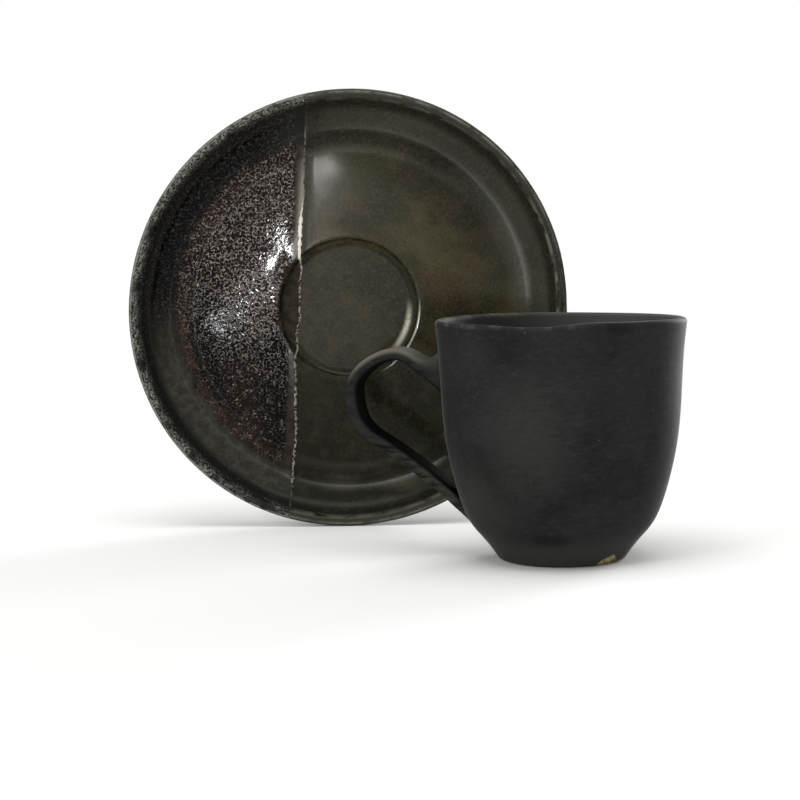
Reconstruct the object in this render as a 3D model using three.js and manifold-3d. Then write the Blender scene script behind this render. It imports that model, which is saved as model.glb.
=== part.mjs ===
import * as THREE from 'three';
import { mergeVertices } from 'three/addons/utils/BufferGeometryUtils.js';
import Module from 'manifold-3d';

// A stoneware coffee cup, with its saucer standing on edge behind it.
// Millimetres, +Z up. The table is z = 0 and the origin is the middle of the set's footprint.

// Cup: a bowl that swells from a small foot
const cupHeight = 82;
const rimRadius = 42.5;
const lipThickness = 2.8;
const bellyRadius = 36.75;
const bellyHeight = 28.3;
const wallThickness = 3.6;
const footRadius = 22;
const footEdgeHeight = 1.1;
const footContactRadius = 17.8;
const footRingWidth = 4.5;
const footRecess = 1.5;
const cupFloorHeight = 6.5;
const cupFloorRadius = 9;

// Lean of the cup's wall from upright, in degrees
const footLean = 33;
const bellyLean = 14.3;
const rimLean = 8;

// Handle: a flat strap that bows out from the wall and runs back down to it above the foot
const strapWidth = 11.5;
const strapThickness = 4.5;
const upperJointDrop = 17.7;
const lowerJointHeight = 16;
const crestRise = 5.4;
const crestReach = 16.6;
const bowDrop = 7.3;
const bowReach = 32.6;
const elbowRise = 23;
const elbowReach = 31;
const lowerArmBow = 1.2;
const upperPadHeight = 17.2;
const lowerPadHeight = 5.6;
const padWidth = 15.5;
const padLength = 14;
const handleSwing = 17;

// Saucer: a dish with a nearly flat floor that sweeps up into a steep rim, and a well for the cup's foot
const saucerRadius = 82;
const saucerHeight = 19.5;
const saucerLip = 3.6;
const floorEdgeRadius = 62;
const floorEdgeHeight = 8.4;
const floorHeight = 8.6;
const coveRun = 9;
const rimBatter = 1.9;
const rimFootRise = 0.8;
const wellRadius = 22.8;
const wellStep = 4.2;
const wellCoveRun = 3;
const wellEdgeRun = 1.1;
const wellDepth = 2.2;
const saucerThickness = 4.2;
const undersideRadius = 68;
const undersideRise = 2.9;
const saucerFootRadius = 39.5;
const saucerFootWidth = 4.5;
const saucerFootHeight = 2.6;

// Glaze: two coats that meet in a raised bead along a chord of the saucer
const glazeThickness = 0.5;
const seamOffset = 19;
const seamLean = 3.2;

// The set's layout: the saucer stands behind the cup and to its left
const saucerBeside = 73.8;
const saucerBehind = 97.5;

// Fired joints: the space left between pieces that are bonded
const bondGap = 0.3;

// Curves: the share of each stretch over which it keeps the direction of its lower or upper end
const footHold = 0.51;
const bellyHold = 0.75;
const wallHold = 0.4;
const crestStartHold = 0.6;
const crestEndHold = 0.4;
const bowStartHold = 0.4;
const bowEndHold = 0.5;
const elbowStartHold = 0.55;
const elbowEndHold = 0.43;

// Sections: an oval at 2 and nearer a rectangle above it; with a higher power a pad keeps closer to its joint
const strapSquareness = 4;
const beadSquareness = 2;
const padPower = 3;

// Facets
const cupSegments = 56;
const saucerSegments = 60;
const handleSteps = 44;
const handleSides = 12;
const beadSides = 8;
const endCrowding = 0.6;

const wasm = await Module();
wasm.setup();

const point = (radius, height) => new THREE.Vector2(radius, height);

const leanDirection = (degrees) => {
  const angle = THREE.MathUtils.degToRad(degrees);
  return point(Math.sin(angle), Math.cos(angle));
};

const line = (from, to) => [new THREE.LineCurve(from, to), 1];

// A smooth leg between two points; each hold is the share of the rise that keeps the end's lean
function leg(from, fromLean, fromHold, to, toLean, toHold, steps) {
  const rise = to.y - from.y;
  const leave = from.clone().addScaledVector(leanDirection(fromLean), rise * fromHold);
  const arrive = to.clone().addScaledVector(leanDirection(toLean), -rise * toHold);
  return sweep(from, leave, arrive, to, steps);
}

const sweep = (from, leave, arrive, to, steps) => [
  new THREE.CubicBezierCurve(from, leave, arrive, to),
  steps,
];

const bend = (from, corner, to, steps) => [new THREE.QuadraticBezierCurve(from, corner, to), steps];

const halfRound = (centre, radius, fromAngle, toAngle, steps) => [
  new THREE.EllipseCurve(centre.x, centre.y, radius, radius, fromAngle, toAngle, toAngle < fromAngle),
  steps,
];

// Points along joined curves, each shared end taken once
const trace = (...legs) =>
  legs.flatMap(([curve, steps], index) => curve.getPoints(steps).slice(index === 0 ? 0 : 1));

// An outline moved to its left by a distance
function offset(outline, distance) {
  return outline.map((here, index) => {
    const before = outline[Math.max(index - 1, 0)];
    const after = outline[Math.min(index + 1, outline.length - 1)];
    const along = after.clone().sub(before).normalize();
    return here.clone().add(point(-along.y, along.x).multiplyScalar(distance));
  });
}

// The height of an outline at a radius, or the radius at a height
function readOff(outline, from, to, value) {
  const past = (here) => here[from] - value;
  const index = outline.findIndex((here, i) => i > 0 && past(here) * past(outline[i - 1]) <= 0);
  const share = (value - outline[index - 1][from]) / (outline[index][from] - outline[index - 1][from]);
  return THREE.MathUtils.lerp(outline[index - 1][to], outline[index][to], share);
}

// A body of revolution about +Z
function revolve(outline, segments) {
  return new THREE.LatheGeometry(outline, segments).rotateX(Math.PI / 2);
}

// A closed strap through stations in the XZ plane, with a rounded section square to the run at each one
function loft(stations, sides, squareness) {
  const across = new THREE.Vector3(0, 1, 0);
  const rounded = (share) => Math.sign(share) * Math.abs(share) ** (2 / squareness);
  const steps = stations.length - 1;
  const positions = [];
  const faces = [];
  stations.forEach(({ centre, run, thickness, width }) => {
    const outward = new THREE.Vector3().crossVectors(across, run);
    for (let side = 0; side < sides; side += 1) {
      const turn = (2 * Math.PI * (side + 0.5)) / sides;
      const corner = centre.clone()
        .addScaledVector(outward, rounded(Math.cos(turn)) * thickness / 2)
        .addScaledVector(across, rounded(Math.sin(turn)) * width / 2);
      positions.push(corner.x, corner.y, corner.z);
    }
  });
  const at = (step, side) => step * sides + (side % sides);
  for (let step = 0; step < steps; step += 1) {
    for (let side = 0; side < sides; side += 1) {
      faces.push(at(step, side), at(step, side + 1), at(step + 1, side + 1));
      faces.push(at(step, side), at(step + 1, side + 1), at(step + 1, side));
    }
  }
  for (let side = 1; side < sides - 1; side += 1) {
    faces.push(at(0, 0), at(0, side + 1), at(0, side));
    faces.push(at(steps, 0), at(steps, side), at(steps, side + 1));
  }
  const geometry = new THREE.BufferGeometry();
  geometry.setAttribute('position', new THREE.Float32BufferAttribute(positions, 3));
  geometry.setIndex(faces);
  return geometry;
}

function solid(geometry) {
  const bare = geometry.clone();
  bare.deleteAttribute('normal');
  bare.deleteAttribute('uv');
  const merged = mergeVertices(bare);
  return new wasm.Manifold(new wasm.Mesh({
    numProp: 3,
    vertProperties: new Float32Array(merged.attributes.position.array),
    triVerts: new Uint32Array(merged.index.array),
  }));
}

function geometryOf(manifold) {
  const mesh = manifold.getMesh();
  const geometry = new THREE.BufferGeometry();
  geometry.setAttribute('position', new THREE.BufferAttribute(mesh.vertProperties, 3));
  geometry.setIndex(new THREE.BufferAttribute(mesh.triVerts, 1));
  geometry.computeVertexNormals();
  return geometry;
}

function part(name, geometry, color, roughness) {
  const material = new THREE.MeshStandardMaterial({ color, roughness, metalness: 0 });
  const mesh = new THREE.Mesh(geometry, material);
  mesh.name = name;
  return mesh;
}

// Cup outline: the outside from foot to rim
const footEdge = point(footRadius, footEdgeHeight);
const belly = point(bellyRadius, bellyHeight);
const rimCentre = point(rimRadius - lipThickness / 2, cupHeight - lipThickness / 2);
const rimOutside = point(rimRadius, rimCentre.y);
const footCorner = point(footRadius - footEdgeHeight * Math.tan(THREE.MathUtils.degToRad(footLean)), 0);
const cupOutside = trace(
  bend(point(footContactRadius, 0), footCorner, footEdge, 3),
  leg(footEdge, footLean, footHold, belly, bellyLean, bellyHold, 8),
  leg(belly, bellyLean, wallHold, rimOutside, rimLean, wallHold, 5),
);

function cupBody() {
  const recessRadius = footContactRadius - footRingWidth;
  const rimInside = point(rimRadius - lipThickness, rimCentre.y);
  const innerBelly = point(bellyRadius - wallThickness, bellyHeight);
  const floorRound = point(cupFloorRadius, cupFloorHeight);
  const floorCorner = point(
    innerBelly.x - (bellyHeight - cupFloorHeight) * Math.tan(THREE.MathUtils.degToRad(bellyLean)),
    cupFloorHeight,
  );
  const underside = trace(
    line(point(0, footRecess), point(recessRadius - footRecess, footRecess)),
    line(point(recessRadius - footRecess, footRecess), point(recessRadius, 0)),
  );
  const inside = trace(
    halfRound(rimCentre, lipThickness / 2, 0, Math.PI, 6),
    leg(rimInside, rimLean, wallHold, innerBelly, bellyLean, wallHold, 4),
    bend(innerBelly, floorCorner, floorRound, 6),
    line(floorRound, point(0, cupFloorHeight)),
  );
  const outline = [...underside, ...cupOutside, ...inside.slice(1)];
  return part('cup_body', revolve(outline, cupSegments), 0x2b2c2d, 0.75);
}

// Handle path in the plane of the cup's axis; both ends run on into the wall, where the cup trims them
const lowerOverrun = 2 * strapThickness;

function handlePath() {
  const at = (radius, height) => new THREE.Vector3(radius, 0, height);
  const upperHeight = cupHeight - upperJointDrop;
  const upperSeat = at(readOff(cupOutside, 'y', 'x', upperHeight), upperHeight);
  const lowerSeat = at(readOff(cupOutside, 'y', 'x', lowerJointHeight), lowerJointHeight);
  const crest = upperSeat.clone().add(at(crestReach, crestRise));
  const bow = upperSeat.clone().add(at(bowReach, -bowDrop));
  const elbow = lowerSeat.clone().add(at(elbowReach, elbowRise));
  const lowerArm = elbow.clone().lerp(lowerSeat, 0.5).add(at(0, 2 * lowerArmBow));
  const elbowRun = elbow.clone().sub(lowerArm).normalize();
  const lowerRun = lowerSeat.clone().sub(lowerArm).normalize();
  const upperEnd = upperSeat.clone().sub(at(wallThickness, 0));
  const lowerEnd = lowerSeat.clone().addScaledVector(lowerRun, lowerOverrun);
  const path = new THREE.CurvePath();
  path.add(new THREE.LineCurve3(upperEnd, upperSeat));
  path.add(new THREE.CubicBezierCurve3(
    upperSeat,
    at(upperSeat.x + crestReach * crestStartHold, upperSeat.z),
    at(crest.x - crestReach * crestEndHold, crest.z),
    crest,
  ));
  path.add(new THREE.CubicBezierCurve3(
    crest,
    at(crest.x + (bow.x - crest.x) * bowStartHold, crest.z),
    at(bow.x, bow.z + (crest.z - bow.z) * bowEndHold),
    bow,
  ));
  path.add(new THREE.CubicBezierCurve3(
    bow,
    at(bow.x, bow.z + (elbow.z - bow.z) * elbowStartHold),
    elbow.clone().addScaledVector(elbowRun, (bow.z - elbow.z) * elbowEndHold),
    elbow,
  ));
  path.add(new THREE.QuadraticBezierCurve3(elbow, lowerArm, lowerSeat));
  path.add(new THREE.LineCurve3(lowerSeat, lowerEnd));
  return path;
}

function cupHandle() {
  const path = handlePath();
  const length = path.getLength();
  // The strap swells into a pad over the last stretch before each joint
  const swell = (distance) => THREE.MathUtils.clamp(1 - distance / padLength, 0, 1) ** padPower;
  const stations = Array.from({ length: handleSteps + 1 }, (_, step) => {
    const even = step / handleSteps;
    const share = THREE.MathUtils.lerp(even, (1 - Math.cos(Math.PI * even)) / 2, endCrowding);
    const upper = swell(share * length - wallThickness);
    const lower = swell((1 - share) * length - lowerOverrun);
    return {
      centre: path.getPointAt(share),
      run: path.getTangentAt(share),
      thickness: strapThickness + (upperPadHeight - strapThickness) * upper
        + (lowerPadHeight - strapThickness) * lower,
      width: strapWidth + (padWidth - strapWidth) * (upper + lower),
    };
  });
  const strap = loft(stations, handleSides, strapSquareness);
  const clearOutside = offset(cupOutside, -bondGap);
  const bowl = [point(0, clearOutside[0].y), ...clearOutside, point(0, clearOutside.at(-1).y)];
  const trimmed = solid(strap).subtract(solid(revolve(bowl, cupSegments)));
  return part('cup_handle', geometryOf(trimmed), 0x2e2f30, 0.75);
}

// Saucer outline: the finished upper face from the axis to the crest of the lip
const wellHeight = floorHeight - wellDepth;
const shoulderRadius = wellRadius + wellStep;
const lipRadius = saucerLip / 2;
const lipCentre = point(saucerRadius - lipRadius, saucerHeight - lipRadius);
const rimTop = point(saucerRadius - saucerLip, lipCentre.y);
const floorEdge = point(floorEdgeRadius, floorEdgeHeight);
const wellEdge = point(wellRadius, wellHeight);
const shoulder = point(shoulderRadius, floorHeight);
const upperFace = trace(
  line(point(0, wellHeight), wellEdge),
  sweep(
    wellEdge,
    point(wellRadius + wellCoveRun, wellHeight),
    point(shoulderRadius - wellEdgeRun, floorHeight),
    shoulder,
    5,
  ),
  bend(shoulder, point((shoulderRadius + floorEdgeRadius) / 2, floorHeight), floorEdge, 3),
  sweep(
    floorEdge,
    point(floorEdgeRadius + coveRun, floorEdgeHeight),
    point(rimTop.x - rimBatter, floorEdgeHeight + rimFootRise),
    rimTop,
    7,
  ),
  halfRound(lipCentre, lipRadius, Math.PI, Math.PI / 2, 3),
);

function saucerBody() {
  const ringInside = saucerFootRadius - saucerFootWidth;
  const recessHeight = wellHeight - saucerThickness;
  const underWall = point(undersideRadius, undersideRise);
  const underSlope = point(saucerFootRadius + saucerFootHeight, saucerFootHeight);
  const lipOutside = point(saucerRadius, lipCentre.y);
  const underside = trace(
    line(point(0, recessHeight), point(ringInside - recessHeight, recessHeight)),
    line(point(ringInside - recessHeight, recessHeight), point(ringInside, 0)),
    line(point(ringInside, 0), point(saucerFootRadius, 0)),
    line(point(saucerFootRadius, 0), underSlope),
    line(underSlope, underWall),
    bend(underWall, point(saucerRadius - saucerLip / 2, underWall.y + saucerFootHeight), lipOutside, 6),
    halfRound(lipCentre, lipRadius, 0, Math.PI / 2, 3),
  );
  const bedUnderGlaze = offset(upperFace, -glazeThickness - bondGap);
  const outline = [...underside, ...bedUnderGlaze.reverse()];
  return part('saucer_body', revolve(outline, saucerSegments), 0x241d1b, 0.4);
}

// The coat over the whole upper face, cut away on one side of the seam
function glazeCoat(name, side, color, roughness) {
  const inside = upperFace.slice(0, -1);
  const outline = [...offset(upperFace, -glazeThickness).slice(0, -1), ...inside.reverse()];
  const keep = 2 * saucerRadius;
  const block = new THREE.BoxGeometry(keep, 2 * keep, keep);
  block.translate(side * (keep / 2 + glazeThickness + bondGap), 0, 0);
  block.rotateZ(-THREE.MathUtils.degToRad(seamLean));
  block.translate(-seamOffset, 0, 0);
  const coat = solid(revolve(outline, saucerSegments)).intersect(solid(block));
  return part(name, geometryOf(coat), color, roughness);
}

// The bead along the chord where the two coats meet, with a station on each ring of the upper face
function glazeSeam() {
  const lean = THREE.MathUtils.degToRad(seamLean);
  const distance = seamOffset * Math.cos(lean);
  const rings = upperFace.slice(0, -1).filter((ring) => ring.x > distance);
  const upward = rings.map((ring) => new THREE.Vector3(Math.sqrt(ring.x ** 2 - distance ** 2), 0, ring.y));
  const downward = upward.map((centre) => new THREE.Vector3(-centre.x, 0, centre.z));
  const centres = [...downward.reverse(), ...upward];
  const stations = centres.map((centre, index) => {
    const before = centres[Math.max(index - 1, 0)];
    const after = centres[Math.min(index + 1, centres.length - 1)];
    const run = after.clone().sub(before).normalize();
    return { centre, run, thickness: 2 * glazeThickness, width: 2 * glazeThickness };
  });
  const seam = part('glaze_seam', loft(stations, beadSides, beadSquareness), 0x8f8577, 0.25);
  seam.rotation.z = Math.PI / 2 - lean;
  seam.position.set(-distance * Math.cos(lean), distance * Math.sin(lean), 0);
  return seam;
}

const cup = new THREE.Group();
const handle = cupHandle();
handle.rotation.z = Math.PI - THREE.MathUtils.degToRad(handleSwing);
cup.add(cupBody(), handle);

// The saucer's face is turned to the front and its edge rests on the table
const saucer = new THREE.Group();
saucer.add(
  saucerBody(),
  glazeCoat('speckled_glaze', -1, 0x3b3334, 0.25),
  glazeCoat('olive_glaze', 1, 0x3a3727, 0.15),
  glazeSeam(),
);
saucer.rotation.x = Math.PI / 2;
saucer.position.set(-saucerBeside, saucerBehind, saucerRadius);

const set = new THREE.Group();
set.name = 'cup_and_saucer';
set.add(cup, saucer);
set.position.set((saucerBeside + saucerRadius - rimRadius) / 2, (rimRadius - saucerBehind) / 2, 0);

export default set;
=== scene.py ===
import math

import bmesh
import bpy
import numpy as np
from mathutils import Matrix, Vector


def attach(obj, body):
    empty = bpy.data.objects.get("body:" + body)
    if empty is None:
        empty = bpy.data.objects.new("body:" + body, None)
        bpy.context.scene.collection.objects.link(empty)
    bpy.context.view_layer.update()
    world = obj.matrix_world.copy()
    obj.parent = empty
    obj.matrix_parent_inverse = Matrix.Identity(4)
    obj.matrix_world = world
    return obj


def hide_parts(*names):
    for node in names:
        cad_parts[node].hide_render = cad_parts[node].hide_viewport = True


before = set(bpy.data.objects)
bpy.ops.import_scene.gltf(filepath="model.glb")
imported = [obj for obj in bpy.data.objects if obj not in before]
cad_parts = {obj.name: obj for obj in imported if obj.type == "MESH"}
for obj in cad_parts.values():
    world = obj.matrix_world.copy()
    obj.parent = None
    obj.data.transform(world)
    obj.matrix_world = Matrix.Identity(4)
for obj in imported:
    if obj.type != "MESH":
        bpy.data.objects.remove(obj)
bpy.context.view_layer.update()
print("frame loaded:", sorted(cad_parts))

# Sizes below are in millimetres and angles in degrees; meshes are put into metres when they are made.
mm = 0.001
scene = bpy.context.scene
scene.view_settings.view_transform = "Standard"


# Curve shapes

def bezier(controls, count):
    # Bernstein blend of the control points, at count + 1 even steps
    t = np.linspace(0.0, 1.0, count + 1)[:, None]
    c = np.asarray(controls, float)
    n = len(c) - 1
    return sum(math.comb(n, k) * t ** k * (1 - t) ** (n - k) * c[k] for k in range(n + 1))


def leanLeg(start, startLean, startHold, end, endLean, endHold, count):
    # cubic that leaves and arrives at given leans from upright, each held for a share of the rise
    start, end = np.asarray(start, float), np.asarray(end, float)
    rise = end[1] - start[1]
    way = [np.array([math.sin(math.radians(a)), math.cos(math.radians(a))]) for a in (startLean, endLean)]
    return bezier([start, start + way[0] * rise * startHold, end - way[1] * rise * endHold, end], count)


def roundLip(centre, radius, fromAngle, toAngle, count):
    # circle arc: centre + radius * (cos, sin)
    a = np.radians(np.linspace(fromAngle, toAngle, count + 1))
    return np.stack([centre[0] + radius * np.cos(a), centre[1] + radius * np.sin(a)], axis=1)


def straight(start, end, count):
    # even steps from start to end
    return np.linspace(np.asarray(start, float), np.asarray(end, float), count + 1)


def chain(*legs):
    # legs end to end, each shared point taken once
    return np.vstack([legs[0]] + [one[1:] for one in legs[1:]])


def lengthAlong(path):
    # running length of a path of points
    return np.concatenate([[0.0], np.cumsum(np.linalg.norm(np.diff(path, axis=0), axis=1))])


def resample(path, shares):
    # points at given shares of a path's length
    run = lengthAlong(path)
    at = np.asarray(shares) * run[-1]
    return np.stack([np.interp(at, run, path[:, k]) for k in range(path.shape[1])], axis=-1)


def runAlong(points):
    # unit directions along a path of points
    run = np.gradient(points, axis=0)
    return run / np.linalg.norm(run, axis=1)[:, None]


def leftNormals(path):
    # unit normals to the left of a path in its plane
    way = runAlong(path)
    return np.stack([-way[:, 1], way[:, 0]], axis=1)


def smooth(low, high, x):
    # cubic step from 0 at low to 1 at high
    t = np.clip((x - low) / (high - low), 0.0, 1.0)
    return t * t * (3 - 2 * t)


def bump(x, middle, width):
    # bell of height 1
    return np.exp(-((x - middle) / width) ** 2)


def turnFrom(degrees, middle):
    # angle from the middle, between -180 and 180
    return (degrees - middle + 180) % 360 - 180


def sway(x, waves):
    # sum of sines, each wave given as (height, length, phase)
    return sum(h * np.sin(2 * math.pi * x / length + phase) for h, length, phase in waves)


def ringWaves(turn, waves):
    # sum of sines of an angle, each wave given as (count, height, phase)
    return sum(height * np.sin(count * turn + phase) for count, height, phase in waves)


# Mesh making

meshing = {
    "weld": 2e-6,    # metres
    "sliver": 1e-6,  # metres
    "sharpFrom": 50,
}


def gridFaces(rows, columns, wrapRows):
    # quads between neighbours of a rows x columns grid, closed across its columns, and its rows where asked
    i, j = np.meshgrid(np.arange(rows if wrapRows else rows - 1), np.arange(columns), indexing="ij")
    ni, nj = (i + 1) % rows, (j + 1) % columns
    corners = [i * columns + j, i * columns + nj, ni * columns + nj, ni * columns + j]
    return np.stack(corners, axis=-1).reshape(-1, 4)


def capped(rings):
    # rings of points with a closing point, repeated round, before the first and after the last
    caps = rings[[0, -1]].mean(axis=1)[:, None, :] * np.ones((1, rings.shape[1], 1))
    return np.concatenate([caps[:1], rings, caps[1:]], axis=0)


def makePiece(name, points, material, mark=None, wrapRows=False):
    # one closed mesh from a grid of points in mm and a mark per point: doubles merged, faces turned outwards
    mesh = bpy.data.meshes.new(name)
    faces = gridFaces(*points.shape[:2], wrapRows)
    mesh.from_pydata((points.reshape(-1, 3) * mm).tolist(), [], faces.tolist())
    if mark is not None:
        values = mark.ravel().astype(np.float32)
        mesh.attributes.new("mark", "FLOAT", "POINT").data.foreach_set("value", values)
    work = bmesh.new()
    work.from_mesh(mesh)
    bmesh.ops.remove_doubles(work, verts=work.verts, dist=meshing["weld"])
    bmesh.ops.dissolve_degenerate(work, edges=work.edges, dist=meshing["sliver"])
    bmesh.ops.recalc_face_normals(work, faces=work.faces)
    work.to_mesh(mesh)
    work.free()
    mesh.polygons.foreach_set("use_smooth", np.ones(len(mesh.polygons), bool))
    mesh.set_sharp_from_angle(angle=math.radians(meshing["sharpFrom"]))
    mesh.materials.append(material)
    mesh.update()
    piece = bpy.data.objects.new(name, mesh)
    scene.collection.objects.link(piece)
    return piece


# Material making

def tone(red, green, blue):
    # a colour given in 0 to 255 display values, as linear light
    s = np.array([red, green, blue], float) / 255
    lin = np.where(s <= 0.04045, s / 12.92, ((s + 0.055) / 1.055) ** 2.4)
    return (*lin.tolist(), 1.0)


def put(kind, inputs, out=0, tree=None, **settings):
    # a node with its settings and inputs, in the tree of those that are sockets; these are linked
    sockets = [one for one in inputs.values() if isinstance(one, bpy.types.NodeSocket)]
    tree = sockets[0].id_data if sockets else tree
    made = tree.nodes.new(kind)
    for key, value in settings.items():
        setattr(made, key, value)
    for key, value in inputs.items():
        socket = next(s for s in made.inputs if key in (s.identifier, s.name))
        if isinstance(value, bpy.types.NodeSocket):
            tree.links.new(value, socket)
        else:
            socket.default_value = value
    return None if out is None else made.outputs[out]


def newMaterial(name):
    # an empty node material, and its tree
    made = bpy.data.materials.new(name)
    made.use_nodes = True
    made.node_tree.nodes.clear()
    return made, made.node_tree


def placed(tree, origin=(0, 0, 0), stretch=(1, 1, 1)):
    # object coordinates moved so that origin, in mm, is zero, then stretched
    raw = put("ShaderNodeTexCoord", {}, "Object", tree)
    moved = {"Vector": raw, "Vector_001": Vector(origin) * mm}
    at = put("ShaderNodeVectorMath", moved, operation="SUBTRACT")
    return put("ShaderNodeVectorMath", {"Vector": at, "Vector_001": stretch}, operation="MULTIPLY")


def inMm(where):
    # x, y and z of a vector, in mm
    large = put("ShaderNodeVectorMath", {"Vector": where, "Scale": 1 / mm}, operation="SCALE")
    return [put("ShaderNodeSeparateXYZ", {"Vector": large}, axis) for axis in "XYZ"]


def ownMark(tree):
    # the mark that the mesh carries at each point
    return put("ShaderNodeAttribute", {}, "Fac", tree, attribute_name="mark")


def noise(where, size, detail=2.0, rough=0.5, distort=0.0, out=0):
    # fractal noise whose lumps are about size mm across
    inputs = {"Vector": where, "Scale": 1 / (size * mm), "Detail": detail, "Roughness": rough}
    return put("ShaderNodeTexNoise", {**inputs, "Distortion": distort}, out)


def cells(where, size, feature="F1", dimensions="3D"):
    # cell pattern whose cells are about size mm across: distance from the middle or the edge of a cell
    return put("ShaderNodeTexVoronoi", {"Vector": where, "Scale": 1 / (size * mm)}, "Distance",
               feature=feature, voronoi_dimensions=dimensions)


def ramp(value, low, high, strength=1.0, floor=0.0):
    # smooth floor to strength as value goes from low to high; low above high turns it round
    flip = low > high
    ends = (high, low) if flip else (low, high)
    to = (strength, floor) if flip else (floor, strength)
    inputs = {"Value": value, "From Min": ends[0], "From Max": ends[1], "To Min": to[0], "To Max": to[1]}
    return put("ShaderNodeMapRange", inputs, interpolation_type="SMOOTHSTEP")


def spread(factor, low, high):
    # straight blend of two numbers
    return put("ShaderNodeMapRange", {"Value": factor, "To Min": low, "To Max": high})


def maths(operation, a, b=0.0):
    # one sum on values
    return put("ShaderNodeMath", {"Value": a, "Value_001": b}, operation=operation)


def times(*values):
    # product of values
    total = values[0]
    for one in values[1:]:
        total = maths("MULTIPLY", total, one)
    return total


def most(*values):
    # largest of values
    total = values[0]
    for one in values[1:]:
        total = maths("MAXIMUM", total, one)
    return total


def plus(a, b, share=1.0):
    # a + share x b
    return put("ShaderNodeMath", {"Value": b, "Value_001": share, "Value_002": a},
               operation="MULTIPLY_ADD")


def centred(pattern, reach):
    # a 0 to 1 pattern as a swing about 0: (pattern - 0.5) x reach
    return times(maths("SUBTRACT", pattern, 0.5), reach)


def awayFrom(tree, place, stretch=(1, 1, 1)):
    # distance in mm from a place, each axis stretched
    length = put("ShaderNodeVectorMath", {"Vector": placed(tree, place, stretch)}, "Value",
                 operation="LENGTH")
    return times(length, 1 / mm)


def ringMask(radius, middle, wide, strength=1.0):
    # strength on a ring at middle, fading to 0 wide to each side
    off = maths("ABSOLUTE", maths("SUBTRACT", radius, middle))
    return ramp(off, wide, 0.0, strength)


def mixTone(factor, a, b):
    # a at factor 0, b at factor 1; each is a socket or display values
    a, b = (one if isinstance(one, bpy.types.NodeSocket) else tone(*one) for one in (a, b))
    inputs = {"Factor_Float": factor, "A_Color": a, "B_Color": b}
    return put("ShaderNodeMix", inputs, 2, data_type="RGBA")


def relief(height, depth, strength=1.0, under=None):
    # bump from a 0 to 1 height, depth in mm
    inputs = {"Height": height, "Distance": depth * mm, "Strength": strength}
    if under is not None:
        inputs["Normal"] = under
    return put("ShaderNodeBump", inputs)


def finishMaterial(colour, rough, normal, specular, more=None):
    # principled surface with linked colour, roughness and bump; the rest are constants on its own sockets
    inputs = {"Base Color": colour, "Roughness": rough, "Normal": normal, "Specular IOR Level": specular}
    surface = put("ShaderNodeBsdfPrincipled", {**inputs, **(more or {})})
    put("ShaderNodeOutputMaterial", {"Surface": surface}, None)


# Cup

cup = {
    "axis": (56.65, -27.5),
    "rim": (42.5, 80.6),  # points of the outline are radius and height
    "lip": 2.8,
    "belly": (36.75, 28.3),
    "wall": 3.6,
    "footEdge": (22.0, 1.1),
    "footContact": 17.8,
    "recess": (11.8, 13.3, 1.5),  # inner radius, outer radius, depth
    "floor": (9.0, 6.5),
    "leans": (33.0, 14.3, 8.0),  # of foot, belly and rim
    "holds": (0.51, 0.75, 0.4),  # of foot, belly and wall
    "segments": 256,
    "lipRises": ((-106.0, -0.75, 17.0), (-80.0, 0.6, 15.0), (-48.0, 0.5, 26.0), (60.0, -0.3, 40.0)),
    "riseBetween": (58, 82),
    "outOfRound": ((2, 0.22, 0.6), (3, 0.12, 2.1), (5, 0.05, 4.0)),
    "ovalBetween": (4, 60),
    "axisRadius": 1.0,
    "chip": {"angle": -51.0, "height": 2.6, "depth": 0.55, "wide": 13.0, "tall": 2.4, "beyond": 19.0},
}


def cupOutline():
    # underside, foot, outside wall, lip and inside wall, as radius and height from axis to axis
    rim, belly, foot = (np.array(cup[k]) for k in ("rim", "belly", "footEdge"))
    footLean, bellyLean, rimLean = cup["leans"]
    footHold, bellyHold, wallHold = cup["holds"]
    corner = (foot[0] - foot[1] * math.tan(math.radians(footLean)), 0.0)
    inner, outer, deep = cup["recess"]
    outerWall = chain(
        bezier([(cup["footContact"], 0), corner, foot], 8),
        leanLeg(foot, footLean, footHold, belly, bellyLean, bellyHold, 34),
        leanLeg(belly, bellyLean, wallHold, rim, rimLean, wallHold, 34))
    innerBelly = belly - (cup["wall"], 0)
    innerRim = rim - (cup["lip"], 0)
    floorRadius, floorHeight = cup["floor"]
    floorCorner = (innerBelly[0] - (belly[1] - floorHeight) * math.tan(math.radians(bellyLean)), floorHeight)
    innerWall = chain(
        roundLip(rim - (cup["lip"] / 2, 0), cup["lip"] / 2, 0, 180, 14),
        leanLeg(innerRim, rimLean, wallHold, innerBelly, bellyLean, wallHold, 24),
        bezier([innerBelly, floorCorner, (floorRadius, floorHeight)], 22),
        straight((floorRadius, floorHeight), (0, floorHeight), 6))
    underside = chain(
        straight((0, deep), (inner, deep), 5),
        straight((inner, deep), (outer, 0), 3),
        straight((outer, 0), (cup["footContact"], 0), 3))
    return chain(underside, outerWall, innerWall), outerWall


def makeCup(material):
    # outline turned about the axis; the lip rises and dips and the wall is a little out of round
    outline, outerWall = cupOutline()
    turn = np.linspace(-math.pi, math.pi, cup["segments"], endpoint=False)
    radius, height = outline[:, :1], outline[:, 1:]
    degrees = np.degrees(turn)[None, :]
    rise = sum(tall * bump(turnFrom(degrees, at), 0.0, wide) for at, tall, wide in cup["lipRises"])
    oval = ringWaves(turn, cup["outOfRound"])[None, :]
    z = height + rise * smooth(*cup["riseBetween"], height)
    r = radius + oval * smooth(*cup["ovalBetween"], height) * (radius > cup["axisRadius"])
    chip = cup["chip"]
    nick = bump(turnFrom(degrees, chip["angle"]), 0, chip["wide"]) * (radius > chip["beyond"])
    r = r - chip["depth"] * nick * bump(height, chip["height"], chip["tall"])
    points = np.stack([cup["axis"][0] + r * np.cos(turn), cup["axis"][1] + r * np.sin(turn),
                       z * np.ones_like(turn)], axis=-1)
    return makePiece("stonewareCup", points, material), outerWall


# Handle

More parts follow.
